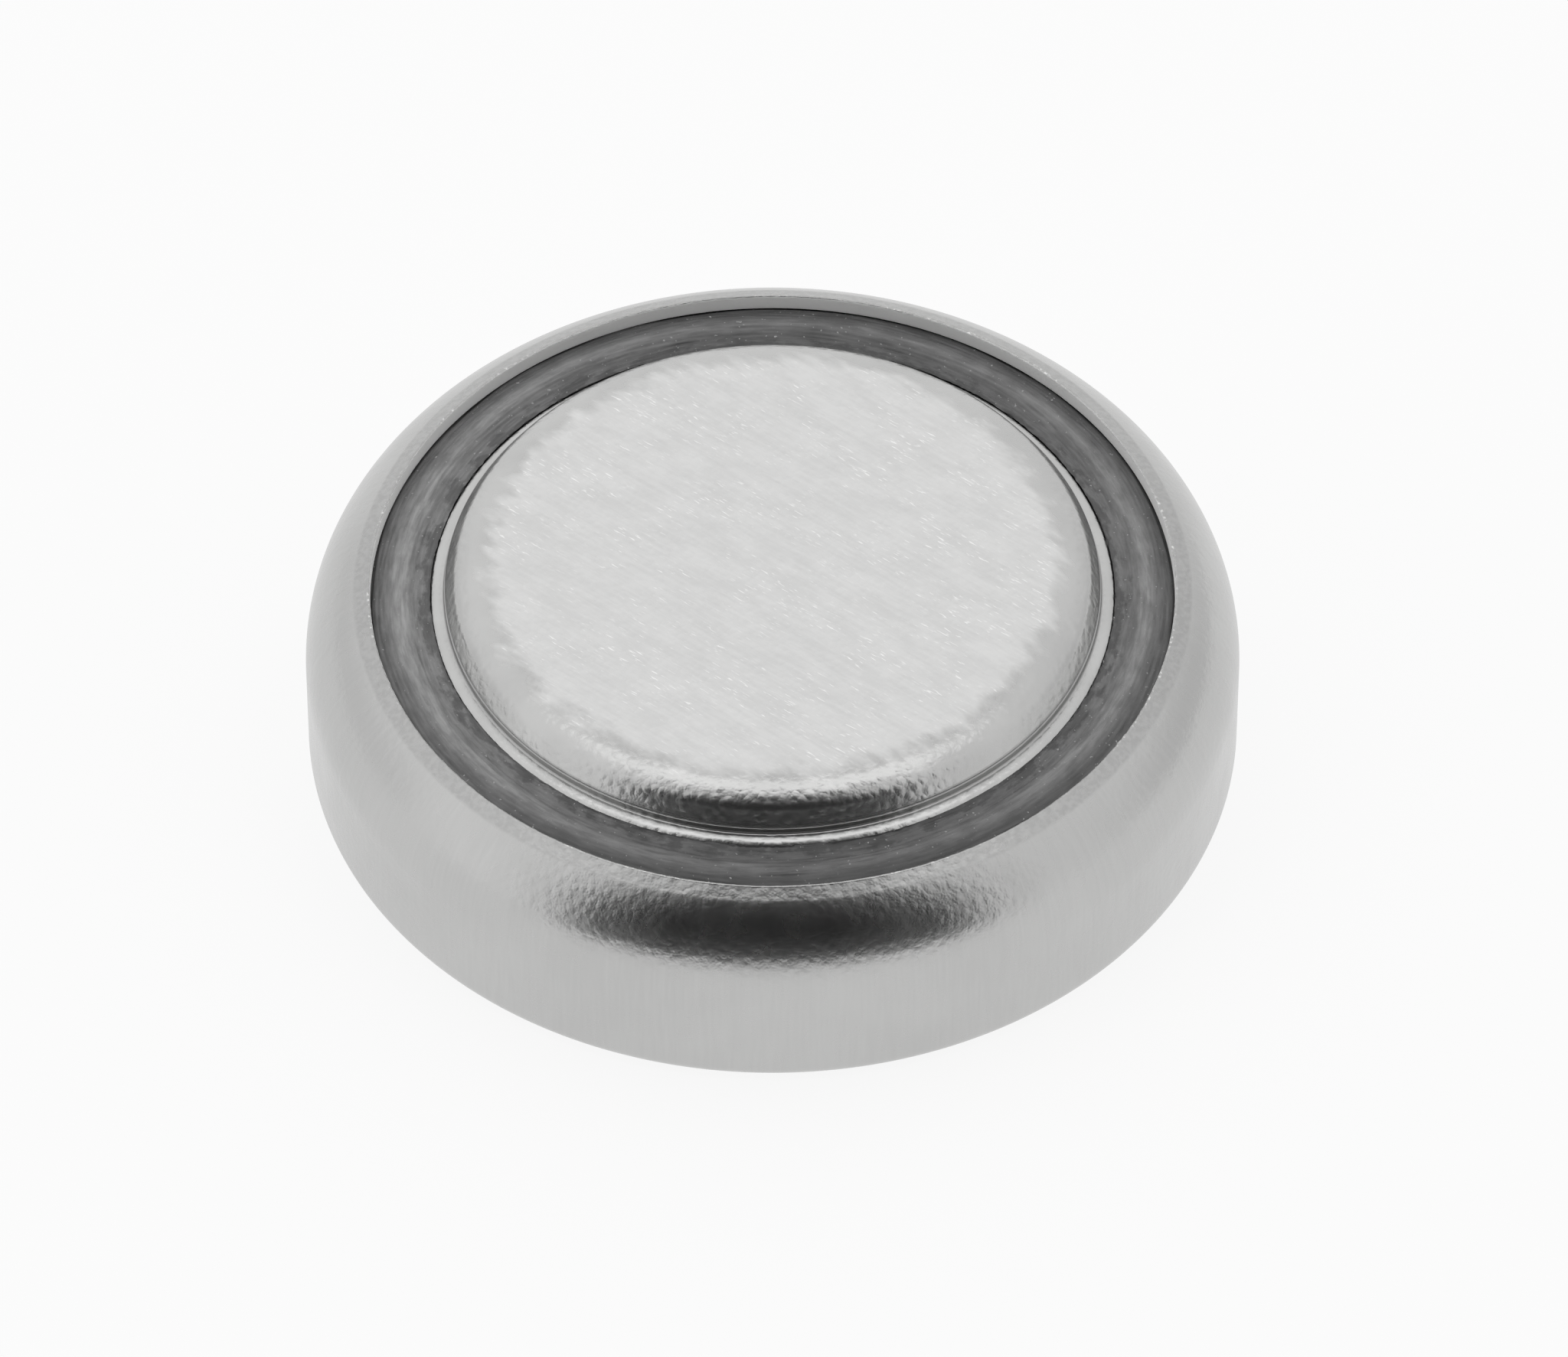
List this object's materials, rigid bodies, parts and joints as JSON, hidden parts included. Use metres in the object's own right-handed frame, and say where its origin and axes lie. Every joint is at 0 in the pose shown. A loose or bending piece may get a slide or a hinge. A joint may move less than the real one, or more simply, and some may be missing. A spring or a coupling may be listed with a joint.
{
  "type": "alkaline button cell",
  "caption": "Round alkaline button cell: a metal can with its lip crimped over a plastic sealing ring and a stepped, domed cap, and the cell's inner layers inside.",
  "frame": {"origin": "centre of the can's flat base, on the surface that the cell stands on", "axes": "+Z along the cell's axis, from the can's base to the flat of the cap; +X and +Y across it, with nothing to tell them apart"},
  "size_m": [0.0116, 0.0116, 0.003],
  "materials": {
    "can_plate": "satin nickel plate",
    "cap_plate": "fine brushed nickel plate",
    "gasket_nylon": "matte grey nylon",
    "cathode_mix": "pressed powder, matte",
    "barrier_cellophane": "clear film, glossy",
    "pad_fibre": "wet non-woven felt",
    "zinc_gel": "wet metallic paste"
  },
  "bodies": {
    "root": {"can": "can_plate", "cathode_pellet": "cathode_mix", "barrier_film": "barrier_cellophane", "absorbent_pad": "pad_fibre", "anode_gel": "zinc_gel", "gasket": "gasket_nylon", "anode_cap": "cap_plate"}
  },
  "joints": []
}
